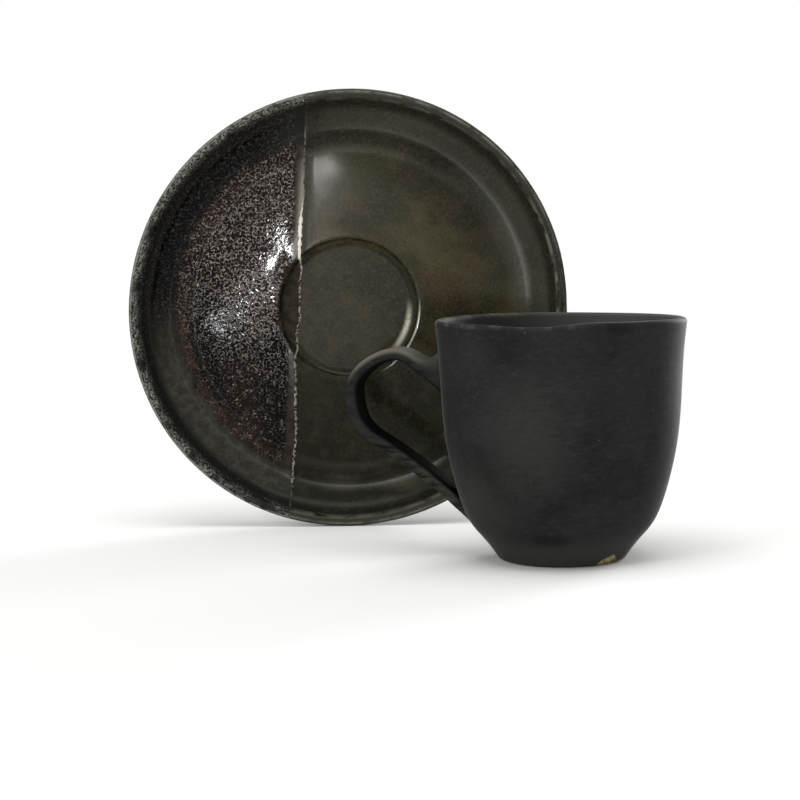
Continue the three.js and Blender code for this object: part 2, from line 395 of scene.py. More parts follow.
handle = {
    "swing": 17.0,
    "strap": (11.5, 4.5),  # width, thickness
    "seats": (64.3, 16.7),  # heights of the upper and lower end
    "crest": (16.6, 5.4),  # from the upper seat
    "bow": (32.6, -7.3),  # from the upper seat
    "elbow": (31.0, 23.0),  # from the lower seat
    "armBow": 1.2,
    "crestHolds": (0.6, 0.4),  # share of each stretch over which it keeps the direction of its ends
    "bowHolds": (0.4, 0.5),
    "elbowHolds": (0.55, 0.43),
    "overrun": (3.6, 9.0),
    "padThickness": (17.2, 4.3),
    "padWidth": 15.5,
    "padLength": 14.0,
    "buried": 1.3,
    "squareness": 4.0,
    "padPower": 3,
    "padRounding": 1.7,
    "sections": 190,
    "endCrowding": 0.55,
    "sides": 64,
    "unevenness": ((0.16, 37.0, 0.4), (0.08, 17.0, 2.0)),
}


def handleLine(outerWall):
    # centreline in the plane of the cup's axis: out of the wall, over crest and bow and down the arm
    seatRadius = np.interp(handle["seats"], outerWall[:, 1], outerWall[:, 0])
    upper, lower = np.stack([seatRadius, handle["seats"]], axis=1)
    crest, bow, elbow = upper + handle["crest"], upper + handle["bow"], lower + handle["elbow"]
    arm = (elbow + lower) / 2 + (0, 2 * handle["armBow"])
    elbowRun = (elbow - arm) / np.linalg.norm(elbow - arm)
    lowerRun = (lower - arm) / np.linalg.norm(lower - arm)
    reach, drop = handle["crest"][0], bow[1] - elbow[1]
    crestOut, crestIn = handle["crestHolds"]
    bowOut, bowIn = handle["bowHolds"]
    elbowOut, elbowIn = handle["elbowHolds"]
    return chain(
        straight(upper - (handle["overrun"][0], 0), upper, 12),
        bezier([upper, upper + (reach * crestOut, 0), crest - (reach * crestIn, 0), crest], 60),
        bezier([crest, crest + ((bow[0] - crest[0]) * bowOut, 0),
                bow + (0, (crest[1] - bow[1]) * bowIn), bow], 60),
        bezier([bow, bow - (0, drop * elbowOut), elbow + elbowRun * drop * elbowIn, elbow], 60),
        bezier([elbow, arm, lower], 60),
        straight(lower, lower + lowerRun * handle["overrun"][1], 20))


def makeHandle(outerWall, material):
    # rounded-square section carried along the centreline, swelling into a pad at each end;
    # the ends sit in the wall
    line = handleLine(outerWall)
    total = lengthAlong(line)[-1]
    even = np.linspace(0, 1, handle["sections"])
    crowding = handle["endCrowding"]
    share = (1 - crowding) * even + crowding * (1 - np.cos(math.pi * even)) / 2
    centre = resample(line, share)
    run = runAlong(centre)
    at = share * total
    upper, lower = (np.clip(1 - (way - over) / handle["padLength"], 0, 1) ** handle["padPower"]
                    for way, over in zip((at, total - at), handle["overrun"]))
    width, thick = handle["strap"]
    upperPad, lowerPad = handle["padThickness"]
    thickness = thick + (upperPad - thick) * upper + (lowerPad - thick) * lower
    thickness = thickness + sway(at, handle["unevenness"]) * (1 - upper) * (1 - lower)
    breadth = width + (handle["padWidth"] - width) * (upper + lower)
    turn = np.linspace(0, 2 * math.pi, handle["sides"], endpoint=False)
    square = 2 / (handle["squareness"] - handle["padRounding"] * (upper + lower)[:, None])
    c, s = (np.sign(wave) * np.abs(wave) ** square for wave in (np.cos(turn), np.sin(turn)))
    x = centre[:, :1] + run[:, 1:] * c * thickness[:, None] / 2
    z = centre[:, 1:] - run[:, :1] * c * thickness[:, None] / 2
    y = s * breadth[:, None] / 2
    across = np.hypot(x, y)
    wall = np.interp(z, outerWall[:, 1], outerWall[:, 0]) - handle["buried"]
    push = np.where(across < wall, wall / across, 1.0)
    x, y = x * push, y * push
    way = math.pi - math.radians(handle["swing"])
    points = capped(np.stack([cup["axis"][0] + x * math.cos(way) - y * math.sin(way),
                              cup["axis"][1] + x * math.sin(way) + y * math.cos(way), z], axis=-1))
    face = np.concatenate([c[:1], c, c[-1:]], axis=0)
    return makePiece("strapHandle", points, material, face)


# Saucer

saucer = {
    "centre": (-17.15, 70.0, 82.0),
    "radius": 82.0,
    "lipCentre": (80.2, 17.7),  # points of the outline are radius and height
    "lipRadius": 1.8,
    "well": ((22.8, 6.4), (25.8, 6.4), (25.9, 8.6), (27.0, 8.6)),
    "wellInset": 1.0,
    "wallFoot": (62.0, 8.4),
    "cove": ((71.0, 8.4), (76.5, 9.2)),
    "underWall": (68.0, 2.9),
    "underCorner": (80.2, 5.5),
    "foot": (32.8, 35.0, 39.5, 42.1, 2.2, 2.6),  # recess, ring and root radii, recess depth, root height
    "ringInside": ((-0.4, 0.3), (-0.1, 0), (0.4, 0)),  # roundings, from the ring's and the root's corners
    "ringOutside": ((-0.5, 0), (0, 0), (0.4, 0.4)),
    "ringRoot": ((-0.6, -0.5), (0, 0), (1.2, 0)),
    "grooves": {"depth": 0.05, "pitch": 1.15, "start": (43, 46), "end": (64, 70), "below": 6.0},
    "glaze": 0.5,
    "bed": 0.8,
    "bedEnd": 0.2,  # share of the lip's radius
    "segments": 240,
    "dipOffset": 19.0,
    "dipLean": 3.2,
    "dipWobble": ((-78.8, -0.1), (-65, 0.2), (-48, 0.7), (-28.6, 0), (-19.8, -0.9), (-15.4, 0.2),
                  (-8.9, -0.4), (-4.7, 0.5), (8.3, 0.1), (15.1, 0.6), (20.1, -0.6), (32.6, -0.3),
                  (44.6, 0.4), (57, 0.3), (69.4, 0)),
    "dipReach": 9.0,
    "ridge": (-0.5, 2.6, 2.0, 0.11),  # middle, width to the left and right, height
    "faceEnds": (66, 77),
    "wellCalm": (22, 29, 0.85),
    "waveHeight": 0.05,
    "wavesFrom": (27, 34),
    "oval": (0.2, 0.72, 40.0),  # constant, wave, angle
    "ovalBetween": (50.0, 80.0),
}

coat = {
    "edgeMargin": 0.02,
    "crossing": (0.03, 13),  # half width in radians and count of the angles added at the rim
    "drips": ((7, 1.1, 0.3), (13, 0.7, 1.7), (23, 0.5, 4.1)),
    "wrapSteps": 13,  # of the curve under the lip
    "wrapShare": 0.8,
    "faceCount": 118,
    "wrapCount": 15,
    "endShare": 0.12,
    "acrossLeast": 1e-3,
    "noCut": 1e6,
}


def faceOutline():
    # finished upper face from the axis to the crest of the lip, then over it and down the outside
    (wellRadius, wellHeight), shoulder = saucer["well"][0], saucer["well"][-1]
    flatRadius = wellRadius - saucer["wellInset"]
    lip = saucer["lipCentre"]
    top = (lip[0] - saucer["lipRadius"], lip[1])
    edge = (lip[0] + saucer["lipRadius"], lip[1])
    floorMiddle = ((shoulder[0] + saucer["wallFoot"][0]) / 2, shoulder[1])
    face = chain(
        straight((0, wellHeight), (flatRadius, wellHeight), 12),
        straight((flatRadius, wellHeight), (wellRadius, wellHeight), 2),
        bezier(saucer["well"], 20),
        bezier([shoulder, floorMiddle, saucer["wallFoot"]], 32),
        bezier([saucer["wallFoot"], *saucer["cove"], top], 34),
        roundLip(lip, saucer["lipRadius"], 180, 90, 9))
    wrap = chain(
        roundLip(lip, saucer["lipRadius"], 90, 0, 9),
        bezier([edge, saucer["underCorner"], saucer["underWall"]], 30)[:coat["wrapSteps"]])
    return face, chain(face, wrap)


faceCurve, coatCurve = faceOutline()
dipLean = math.radians(saucer["dipLean"])
dipDistance = saucer["dipOffset"] * math.cos(dipLean)  # of the dip line from the axis


def faceHeight(radius):
    # height of the upper face at a radius, up to the crest of the lip
    return np.interp(radius, faceCurve[:, 0], faceCurve[:, 1])


def handWaves(x, y):
    # faint unevenness of the thrown face: three slow waves, one of them crossed
    return saucer["waveHeight"] * (np.sin(x / 9.5 + 0.8) * np.sin(y / 11.0 + 2.2)
                                   + np.sin((x + 1.7 * y) / 14.0 + 1.0) + np.sin((1.4 * x - y) / 19.0 + 3.0))


def shapeFace(x, y, h):
    # the dip line wanders, the overlap of the coats swells along it, and the floor is a little uneven
    radius = np.hypot(x, y)
    inner = 1 - smooth(*saucer["faceEnds"], radius)
    side = (x + saucer["dipOffset"]) * math.cos(dipLean) - y * math.sin(dipLean)
    knots = np.array(saucer["dipWobble"])
    shift = np.interp(y, knots[:, 0], knots[:, 1]) * bump(side, 0.0, saucer["dipReach"]) * inner
    h = h + (faceHeight(np.hypot(x + shift, y)) - faceHeight(radius)) * inner
    middle, leftWide, rightWide, tall = saucer["ridge"]
    wide = np.where(side < middle, leftWide, rightWide)
    calmFrom, calmTo, calm = saucer["wellCalm"]
    outOfWell = 1 - calm * (1 - smooth(calmFrom, calmTo, radius))
    waves = handWaves(x, y) * inner * smooth(*saucer["wavesFrom"], radius)
    return x + shift, y, h + tall * bump(side, middle, wide) * inner * outOfWell + waves


def saucerPoints(x, y, h):
    # the rim grows by a constant and a twofold wave of the angle;
    # then right, up and forward go into the part's frame
    cx, cy, cz = saucer["centre"]
    even, swing, towards = saucer["oval"]
    radius = np.maximum(np.hypot(x, y), 1e-6)
    grown = even + swing * np.cos(2 * (np.arctan2(y, x) - math.radians(towards)))
    scale = 1 + grown * smooth(*saucer["ovalBetween"], radius) / radius
    lift = swing * math.cos(2 * math.radians(270 - towards)) + even
    return np.stack([cx + x * scale, cy - h, cz + lift + y * scale], axis=-1)


def makeCoat(name, left, material):
    # per angle, the coat's outline from the middle over the lip and back under, cut along the dip line
    facing = math.pi - dipLean
    reach = math.acos(dipDistance / (saucer["radius"] - coat["edgeMargin"]))
    if left:
        angles = facing + reach * np.sin(np.linspace(-math.pi / 2, math.pi / 2, saucer["segments"]))
    else:
        half, count = coat["crossing"]
        near = np.linspace(-half, half, count)
        even = np.linspace(-math.pi, math.pi, saucer["segments"], endpoint=False)
        angles = np.sort(np.concatenate([even, facing - 2 * math.pi + reach + near, facing - reach + near]))
    along = np.cos(angles - facing)
    least = coat["acrossLeast"]
    cut = np.where(along > least, dipDistance / np.maximum(along, least), coat["noCut"])
    run = lengthAlong(coatCurve)
    faceRun = run[len(faceCurve) - 1]
    ends = faceRun + (run[-1] - faceRun) * coat["wrapShare"] + ringWaves(angles, coat["drips"])
    faceShares = np.linspace(0, 1, coat["faceCount"])
    faceAt = np.interp(faceShares, np.linspace(0, 1, len(faceCurve)), run[:len(faceCurve)])
    wrapShares = np.linspace(0, 1, coat["wrapCount"])[1:]
    wrapAt = faceRun + (ends - faceRun)[:, None] * wrapShares
    at = np.concatenate([np.tile(faceAt, (len(angles), 1)), wrapAt], axis=1)
    widest = np.argmax(coatCurve[:, 0])
    first = np.interp(cut, coatCurve[:widest + 1, 0], run[:widest + 1])[:, None]
    last = np.interp(-cut, -coatCurve[widest:, 0], run[widest:])[:, None]
    if left:
        at = np.clip(at, first, last)
    else:
        at = np.minimum(at, np.where(cut[:, None] < saucer["radius"], first, np.inf))
    outline = np.concatenate([coatCurve, leftNormals(coatCurve)], axis=1)
    r, h, nr, nh = (np.interp(at, run, outline[:, k]) for k in range(4))
    depth = np.full_like(at, saucer["glaze"])
    depth[:, -1] *= coat["endShare"]
    lowR, lowH = np.maximum(r - nr * depth, 0), h - nh * depth
    c, s = np.cos(angles)[:, None], np.sin(angles)[:, None]
    upper = saucerPoints(*shapeFace(r * c, r * s, h))
    lower = saucerPoints(*shapeFace(lowR * c, lowR * s, lowH))
    points = np.concatenate([upper, lower[:, ::-1]], axis=1)
    rings = np.concatenate([r, lowR[:, ::-1]], axis=1)
    return makePiece(name, points, material, rings, not left)


def makeSaucerClay(material):
    # clay body turned about its axis: recess, foot ring, underside, wall, lip and the bed under the coats
    inner, ring, outer, root, recess, footHeight = saucer["foot"]
    ringInside = np.add((ring, 0), saucer["ringInside"])
    ringOutside = np.add((outer, 0), saucer["ringOutside"])
    ringRoot = np.add((root, footHeight), saucer["ringRoot"])
    lip = saucer["lipCentre"]
    lipRadius = saucer["lipRadius"] - saucer["glaze"]
    bed = faceCurve - leftNormals(faceCurve) * saucer["bed"]
    bed[:, 0] = np.maximum(bed[:, 0], 0)
    bed = bed[bed[:, 0] < lip[0] - lipRadius * saucer["bedEnd"]]
    outline = chain(
        straight((0, recess), (inner, recess), 10),
        straight((inner, recess), ringInside[0], 5),
        bezier(ringInside, 4),
        straight(ringInside[-1], ringOutside[0], 5),
        bezier(ringOutside, 4),
        straight(ringOutside[-1], ringRoot[0], 4),
        bezier(ringRoot, 4),
        straight(ringRoot[-1], saucer["underWall"], 20),
        bezier([saucer["underWall"], saucer["underCorner"], (lip[0] + lipRadius, lip[1])], 30),
        roundLip(lip, lipRadius, 0, 90, 6),
        bed[::-1])
    turn = np.linspace(-math.pi, math.pi, saucer["segments"], endpoint=False)
    r, h = outline[:, :1], outline[:, 1:]
    groove = saucer["grooves"]
    onUnderside = smooth(*groove["start"], r) * (1 - smooth(*groove["end"], r)) * (h < groove["below"])
    grooves = groove["depth"] * np.sin(r / groove["pitch"]) * onUnderside
    points = saucerPoints(r * np.cos(turn), r * np.sin(turn), (h + grooves) * np.ones_like(turn))
    rings = r * np.ones_like(turn)
    return makePiece("saucerClay", points, material, rings)


# Seam bead

bead = {
    "halfWidth": 0.30,
    "halfHeight": 0.20,
    "swell": (27.0, 9.0, 1.3),  # middle, width, amount
    "lowSwell": (0.0, 18.0, 0.5),  # from, to, amount
    "endGap": 0.3,
    "endTaper": (3.0, 0.2),  # length, least share
    "sections": 620,
    "sides": 16,
    "widthWaves": ((0.12, 2.9, 0.3), (0.10, 4.7, 1.9), (0.08, 1.7, 4.0), (0.10, 11.0, 2.6)),
    "widthUnevenness": 1.6,
    "widthLimits": (0.35, 1.8),
    "sideWaves": ((0.06, 6.1, 0.0), (0.04, 3.3, 1.2), (0.12, 23.0, 2.2)),
}


def makeBead(material):
    # oval section carried along the dip line over the finished face, its width and line uneven
    across = np.array([math.cos(dipLean), -math.sin(dipLean), 0.0])
    up = np.array([math.sin(dipLean), math.cos(dipLean), 0.0])
    reach = math.sqrt(saucer["lipCentre"][0] ** 2 - dipDistance ** 2) - bead["endGap"]
    t = np.linspace(-reach, reach, bead["sections"])
    x, y, _ = ((sway(t, bead["sideWaves"]) - dipDistance)[:, None] * across + t[:, None] * up).T
    centre = np.stack(shapeFace(x, y, faceHeight(np.hypot(x, y))), axis=1)
    out = np.cross(across, runAlong(centre))
    out /= np.linalg.norm(out, axis=1)[:, None]
    taper, least = bead["endTaper"]
    ends = least + (1 - least) * smooth(0, taper, reach - np.abs(t))
    middle, wide, swell = bead["swell"]
    lowFrom, lowTo, lowSwell = bead["lowSwell"]
    uneven = np.clip(1 + sway(t, bead["widthWaves"]) * bead["widthUnevenness"], *bead["widthLimits"])
    swollen = 1 + swell * bump(t, middle, wide) + lowSwell * (1 - smooth(lowFrom, lowTo, t))
    width = uneven * ends * swollen
    turn = np.linspace(0, 2 * math.pi, bead["sides"], endpoint=False)
    sideways = (bead["halfWidth"] * width)[:, None] * np.cos(turn)
    upwards = (bead["halfHeight"] * width)[:, None] * np.sin(turn)
    ring = capped(centre[:, None, :] + sideways[..., None] * across + upwards[..., None] * out[:, None, :])
    points = saucerPoints(ring[..., 0], ring[..., 1], ring[..., 2])
    rings = np.hypot(ring[..., 0], ring[..., 1])
    return makePiece("dipSeam", points, material, rings)


# Finishes. A look has tones in display values, noise patterns (lump size, detail, roughness, bend),
# cell sizes, places (with stretch) to be away from, masks (the most of their choices), mixes of tones, and
# the layers of its colour over a ground tone. Choices and layers are products of rows. A row is a value,
# a ramp of it (from, to, strength, floor), a ring of it (middle, width, strength) or a share that it moves
# (at 0, at 1).

rowKinds = {"ramp": ramp, "ring": ringMask, "share": spread}


def masked(values, rows):
    # product of rows; a row without a kind is a ramp, and a bare name is the value itself
    made = []
    for row in rows:
        if isinstance(row, str):
            made.append(values[row])
            continue
        kind, name, *numbers = row if row[0] in rowKinds else ("ramp", *row)
        made.append(rowKinds[kind](values[name], *numbers))
    return times(*made)


def valuesOf(look, here, **known):
    # a look's noise, cells and distances by name, beside the values known already
    values = dict(known)
    values.update((name, noise(here, *one)) for name, one in look.get("patterns", {}).items())
    values.update((name, cells(here, one)) for name, one in look.get("cells", {}).items())
    values.update((name, awayFrom(here.id_data, *one)) for name, one in look.get("places", {}).items())
    return values


def mixed(look, values):
    # adds a look's masks and then its mixed tones to the values, in turn, and gives its colour
    for name, choices in look.get("masks", {}).items():
        values[name] = most(*(masked(values, rows) for rows in choices))
    mixes = {**look.get("mixes", {}), "colour": look["layers"]}
    for name, (ground, *layers) in mixes.items():
        colour = values.get(ground, look.get(ground))
        for shade, *rows in layers:
            colour = mixTone(masked(values, rows), colour, values.get(shade, look.get(shade)))
        values[name] = colour
    return values["colour"]


charcoal = {
    "dark": (20, 21, 21),
    "pale": (32, 34, 33),
    "paleGrain": (54, 54, 52),
    "darkGrain": (16, 16, 16),
    "fleck": (84, 84, 78),
    "patterns": {"clouds": (26, 3, 0.55), "grain": (0.9, 3, 0.65)},
    "cells": {"rare": 9.0},
    "marks": (9, 3, 0.6),
    "marksStretch": (1, 1, 5),
    "layers": (
        "dark",
        ("pale", ("clouds", 0.34, 0.66)),
        ("pale", ("marks", 0.5, 0.75, 0.35)),
        ("paleGrain", ("grain", 0.55, 0.8, 0.3)),
        ("darkGrain", ("grain", 0.45, 0.25, 0.4)),
        ("fleck", ("rare", 0.042, 0.02, 0.6))),
    "roughness": (0.5, 0.7),
    "grainRelief": (0.05, 0.5),
    "sheenRoughness": 0.22,
    "sheenTint": (235, 228, 215),
}


def charcoalStart(name, look):
    # matt slip, cloudy charcoal with grain and rare pale flecks: its material, tree and values for a look
    made, tree = newMaterial(name)
    here = placed(tree)
    x, y, z = inMm(here)
    marks = noise(placed(tree, stretch=charcoal["marksStretch"]), *charcoal["marks"])
    values = valuesOf(charcoal, here, x=x, y=y, z=z, marks=marks)
    mixed(charcoal, values)
    return made, tree, valuesOf(look, here, **values)


def charcoalEnd(look, values):
    # the look's colour on a matt surface with grain over marks
    grain = values["grain"]
    rough = spread(grain, *charcoal["roughness"])
    under = relief(values["marks"], *look["marksRelief"])
    normal = relief(grain, *charcoal["grainRelief"], under)
    finishMaterial(mixed(look, values), rough, normal, look["specular"], {
        "Sheen Weight": look["sheen"], "Sheen Roughness": charcoal["sheenRoughness"],
        "Sheen Tint": tone(*charcoal["sheenTint"])})


cupFront = ("y", cup["axis"][1], cup["axis"][1] - 4.0)
cupLook = {
    "inside": (77, 77, 75),
    "insideLeft": (42, 42, 37),
    "glow": (45, 45, 43),
    "streak": (54, 55, 52),
    "darkStreak": (14, 15, 15),
    "footPale": (54, 54, 50),
    "leftEdge": (50, 51, 41),
    "smudge": (12, 12, 12),
    "worn": (84, 82, 76),
    "clay": (146, 139, 108),
    "darkClay": (92, 87, 63),
    "rust": (150, 98, 54),
    "patterns": {"wornBreaks": (5, 2), "chipNoise": (2.0, 3), "clayNoise": (1.3, 3), "rustBreaks": (3.0, 2)},
    "places": {
        "radius": ((*cup["axis"], 0), (1, 1, 0)),
        "glowAway": ((44, -63, 46), (1, 1, 0.7)),
        "edgeAway": ((32, -48, 22), (1, 1, 0.7)),
        "smudgeAway": ((51, -54, 10.5), (0.35, 0.2, 1)),
    },
    "wallLine": (29.6, 0.16),  # radius at the table, growth with height
    "streaks": (2.2, 4, 0.7),
    "streaksStretch": (0.7, 0.7, 2),
    "chipPlace": (21.6, 2.0),  # radius, height
    "chipWave": 1.6,
    "chipSlopes": (0.5, 0.22, 0.5),  # of top, bottom and right end
    "masks": {"within": ((("fromWall", -1.0, -1.8), ("z", 30, 50)),)},
    "mixes": {
        # the inside painted with shade on its left and light on its right
        "insideTone": ("insideLeft", ("inside", ("x", 30, 85))),
        "clayTone": ("darkClay", ("clay", ("clayNoise", 0.35, 0.6))),
    },
    "layers": (
        "colour",
        ("insideTone", "within"),
        # painted highlight: a soft pale patch on the front of the cup's wall
        ("glow", ("glowAway", 21, 4, 0.75)),
        ("streak", ("streaks", 0.50, 0.72, 0.3), ("share", "within", 1, 0)),
        ("darkStreak", ("streaks", 0.48, 0.30, 0.32), ("share", "within", 1, 0)),
        # painted light: the foot paler near the table, as light thrown up from the floor
        ("footPale", ("z", 13, 4, 0.7)),
        ("leftEdge", ("edgeAway", 14, 4, 0.35)),
        ("smudge", ("smudgeAway", 3.2, 1.2, 0.55)),
        ("worn", ("z", 80.0, 81.6, 0.7), ("wornBreaks", 0.44, 0.70), ("x", 66, 50)),
        ("clayTone", cupFront, ("along", -3.6, -3.0), ("slant", 3.6, 3.1), ("top", 0.8, 0.4),
         ("bottom", -1.6, -1.2)),
        ("rust", cupFront, ("z", 1.2, 0.6), ("rustBreaks", 0.3, 0.5), ("along", -3.0, 0.0),
         ("along", 8.5, 6.0))),
    "marksRelief": (0.12, 0.35),
    "specular": 0.07,
    "sheen": 0.13,
}


def cupFinish():
    # charcoal with wheel streaks, a worn lip, a slanted chip and a rusty line on the foot; painted shade and
    # light inside, a painted highlight on the front and painted floor light on the foot
    made, tree, values = charcoalStart("charcoalStoneware", cupLook)
    tableRadius, growth = cupLook["wallLine"]
    wall = plus(tableRadius, values["z"], growth)
    values["fromWall"] = plus(values["radius"], wall, -1.0)
    values["streaks"] = noise(placed(tree, stretch=cupLook["streaksStretch"]), *cupLook["streaks"])
    angle = math.radians(cup["chip"]["angle"])
    radius, height = cupLook["chipPlace"]
    spot = (cup["axis"][0] + radius * math.cos(angle), cup["axis"][1] + radius * math.sin(angle), height)
    along, _, up = inMm(placed(tree, spot))
    wave = centred(values["chipNoise"], cupLook["chipWave"])
    topSlope, bottomSlope, endSlope = cupLook["chipSlopes"]
    values["along"] = along
    values["slant"] = plus(along, up, endSlope)
    values["top"] = plus(plus(up, along, -topSlope), wave)
    values["bottom"] = plus(plus(up, along, -bottomSlope), wave)
    charcoalEnd(cupLook, values)
    return made


strapLook = {
    "front": (41, 43, 40),
    "lowFront": (60, 59, 52),
    "shaded": (3, 3, 2),
    "rubbed": (106, 102, 93),
    "mixes": {
        "frontTone": ("front", ("lowFront", ("z", 46, 22))),
    },
    "layers": (  # face runs from -1 on the strap's outside to 1 on its inside
        "colour",
        ("frontTone", ("face", 0.8, 0.5, 0.8), ("marks", 0.35, 0.6)),
        # painted shade on the strap's inside
        ("shaded", ("face", 0.70, 0.97)),
        # painted light on the top of the crest
        ("rubbed", ("face", 0.1, -0.7, 0.8), ("z", 58, 68), ("grain", -0.1, 0.5),
         ("x", 13, 3, 1.0, 0.25))),
    "marksRelief": (0.04, 0.35),
    "specular": 0.01,
    "sheen": 0.0,
}


def strapFinish():
    # charcoal, paler on the strap's edges, with painted shade on its inside and painted light along the crest
    made, tree, values = charcoalStart("charcoalStrap", strapLook)
    values["face"] = ownMark(tree)
    charcoalEnd(strapLook, values)
    return made


def saucerStart(name, look):
    # material and values on the saucer: x and z from its middle, radius, signed distance from the dip
    made, tree = newMaterial(name)
    cx, _, cz = saucer["centre"]
    here = placed(tree, (cx, 0, cz))
    x, y, z = inMm(here)
    side = plus(plus(dipDistance, x, math.cos(dipLean)), z, -math.sin(dipLean))
    return made, valuesOf(look, here, x=x, y=y, z=z, radius=ownMark(tree), side=side)


def onSaucer(across, up):
    # a place on the saucer's face, from its middle
    return saucer["centre"][0] + across, 0, saucer["centre"][2] + up


def glazeRough(look, values, pattern):
    # roughness that a pattern moves, more in the cove and at least that of the matt places
    glossy = spread(pattern, *look["roughness"])
    return most(plus(glossy, values["coveMatt"]), values["matt"])


olive = {
    "deep": (29, 28, 19),
    "main": (65, 60, 41),
    "darkPatch": (30, 32, 20),
    "green": (47, 49, 32),
    "brown": (64, 51, 37),
    "cove": (56, 56, 50),
    "paleCove": (70, 69, 60),
    "sheen": (84, 83, 69),
    "wellFloor": (44, 39, 18),
    "wall": (34, 33, 28),
    "edge": (128, 126, 116),
    "low": (20, 19, 12),
    "shine": (188, 184, 167),
    "outer": (40, 38, 33),
    "speck": (13, 11, 9),
    "paleSpeck": (80, 76, 56),
    "line": (15, 11, 8),
    "patterns": {
        "clouds": (34, 2, 0.5), "hues": (22, 2, 0.5, 0.4), "fine": (1.1, 4, 0.7),
        "patches": (15, 4, 0.6, 0.3), "lineBreaks": (6, 2), "edgeNoise": (4, 2), "breaks": (2.4, 2),
        "wellNoise": (5.5, 3, 0.6), "speckBreaks": (5, 2), "moss": (4.5, 3, 0.6),
    },
    "cells": {"speckCells": 1.1, "pitCells": 2.0},
    "places": {
        # places of two painted highlights low on the cove
        "leftSheen": (onSaucer(-4, -66.5), (0.46, 0, 1)),
        "rightSheen": (onSaucer(19, -66.5), (0.40, 0, 1)),
    },
    "ragged": 0.9,
    "masks": {
        "right": ((("x", 50, 70), ("z", 58, 20)),),
        "rimLine": (
            (("ring", "radius", 78.5, 0.8), ("share", "right", 0.35, 1.0)),
            (("ring", "radius", 80.8, 0.7), ("share", "right", 0.6, 0.3))),
        "wellSteps": ((("ring", "radius", 23.1, 1.7),), (("ring", "radius", 26.9, 0.55),)),
        "junction": (
            (("ring", "ragged", 63.4, 2.6), ("breaks", 0.36, 0.56, 0.7, 0.3), ("x", 60, 45)),
            (("ring", "radius", 65.6, 3.4), ("z", 30, 52, 0.8)),
            (("ring", "radius", 66.0, 3.0), ("z", -30, -52, 0.6))),
        "coveMatt": ((("radius", 60, 68), ("radius", 79, 77, 0.16)),),
        "matt": (
            (("radius", 56.0, 64.5), ("radius", 69.0, 66.5, 0.58), ("x", 30, 52, 0.55, 1.0)),
            (("side", 6.5, 1.5, 0.14), ("z", 0, 10)),
            (("radius", 25.8, 24.0, 0.36),)),
        "pits": ((("pitCells", 0.0, 0.18),),),
    },
    "mixes": {
        "wellTone": ("low", ("wellFloor", ("wellNoise", 0.40, 0.62))),
    },
    "layers": (
        "deep",
        ("main", ("clouds", 0.34, 0.62)),
        ("brown", ("hues", 0.5, 0.72, 0.55)),
        ("green", ("hues", 0.48, 0.3, 0.6)),
        ("darkPatch", ("patches", 0.50, 0.64, 0.5)),
        # painted shade: darker towards the bottom
        ("low", ("z", 6, -34, 0.85)),
        ("cove", ("radius", 66.5, 69.5, 0.6)),
        ("wall", ("radius", 73.5, 76.5)),
        # painted shade in a band just right of the dip line
        ("deep", ("side", 0.4, 1.4), ("side", 9.0, 2.2, 0.7), ("z", 0, 20)),
        # painted shade on the bottom of the cove and wall
        ("low", ("radius", 64, 70), ("z", -30, -60, 0.85)),
        ("cove", ("radius", 78.2, 79.5, 0.7)),
        # painted highlight on the right of the cove
        ("paleCove", ("ring", "radius", 66.6, 4.0), ("x", 50, 62), ("z", -14, 2), ("z", 40, 14),
         ("fine", 0.35, 0.6, 0.6, 0.2)),
        # painted highlights: two soft pale patches low on the cove
        ("sheen", ("leftSheen", 5.0, 0.4, 0.4)),
        ("sheen", ("rightSheen", 5.0, 0.4, 0.4)),
        ("outer", "right", ("radius", 79.0, 79.6)),
        # painted highlight: thin pale lines along the lip on the right
        ("edge", "rimLine", ("lineBreaks", 0.3, 0.6)),
        ("wellTone", ("radius", 25.8, 24.0, 0.6)),
        ("line", ("ring", "ragged", 26.2, 0.7), ("breaks", 0.36, 0.56, 1.0, 0.45)),
        # painted highlight on the lower right of the well's steps
        ("shine", ("share", "wellSteps", 0, 0.95), ("x", 12, 22), ("z", 4, -6), ("z", -22, -14)),
        # painted shade: a dark broken line in the crease where the floor meets the cove, more at its top and
        # bottom
        ("line", "junction"),
        ("speck", ("speckCells", 0.36, 0.2, 0.6), ("speckBreaks", 0.36, 0.6)),
        ("paleSpeck", ("fine", 0.48, 0.68), ("z", -45, 10, 0.36, 0.14)),
        ("green", ("moss", 0.48, 0.66, 0.35))),
    "roughness": (0.065, 0.095),
    "fineRelief": (0.004, 0.4),
    "pitRelief": (0.006, 0.3),
    "specular": 0.085,
}


def oliveFinish():
    # glossy olive glaze: slow clouds of green and brown, fine dark specks, a thin dark line where it breaks
    # at the well; painted shade beside the dip, towards the bottom and in the crease at the cove, and painted
    # highlights on the cove, lip and well steps
    made, values = saucerStart("oliveGlaze", olive)
    fine = values["fine"]
    values["ragged"] = plus(values["radius"], centred(values["edgeNoise"], olive["ragged"]))
    colour = mixed(olive, values)
    rough = glazeRough(olive, values, fine)
    normal = relief(fine, *olive["fineRelief"], relief(values["pits"], *olive["pitRelief"]))
    finishMaterial(colour, rough, normal, olive["specular"])
    return made


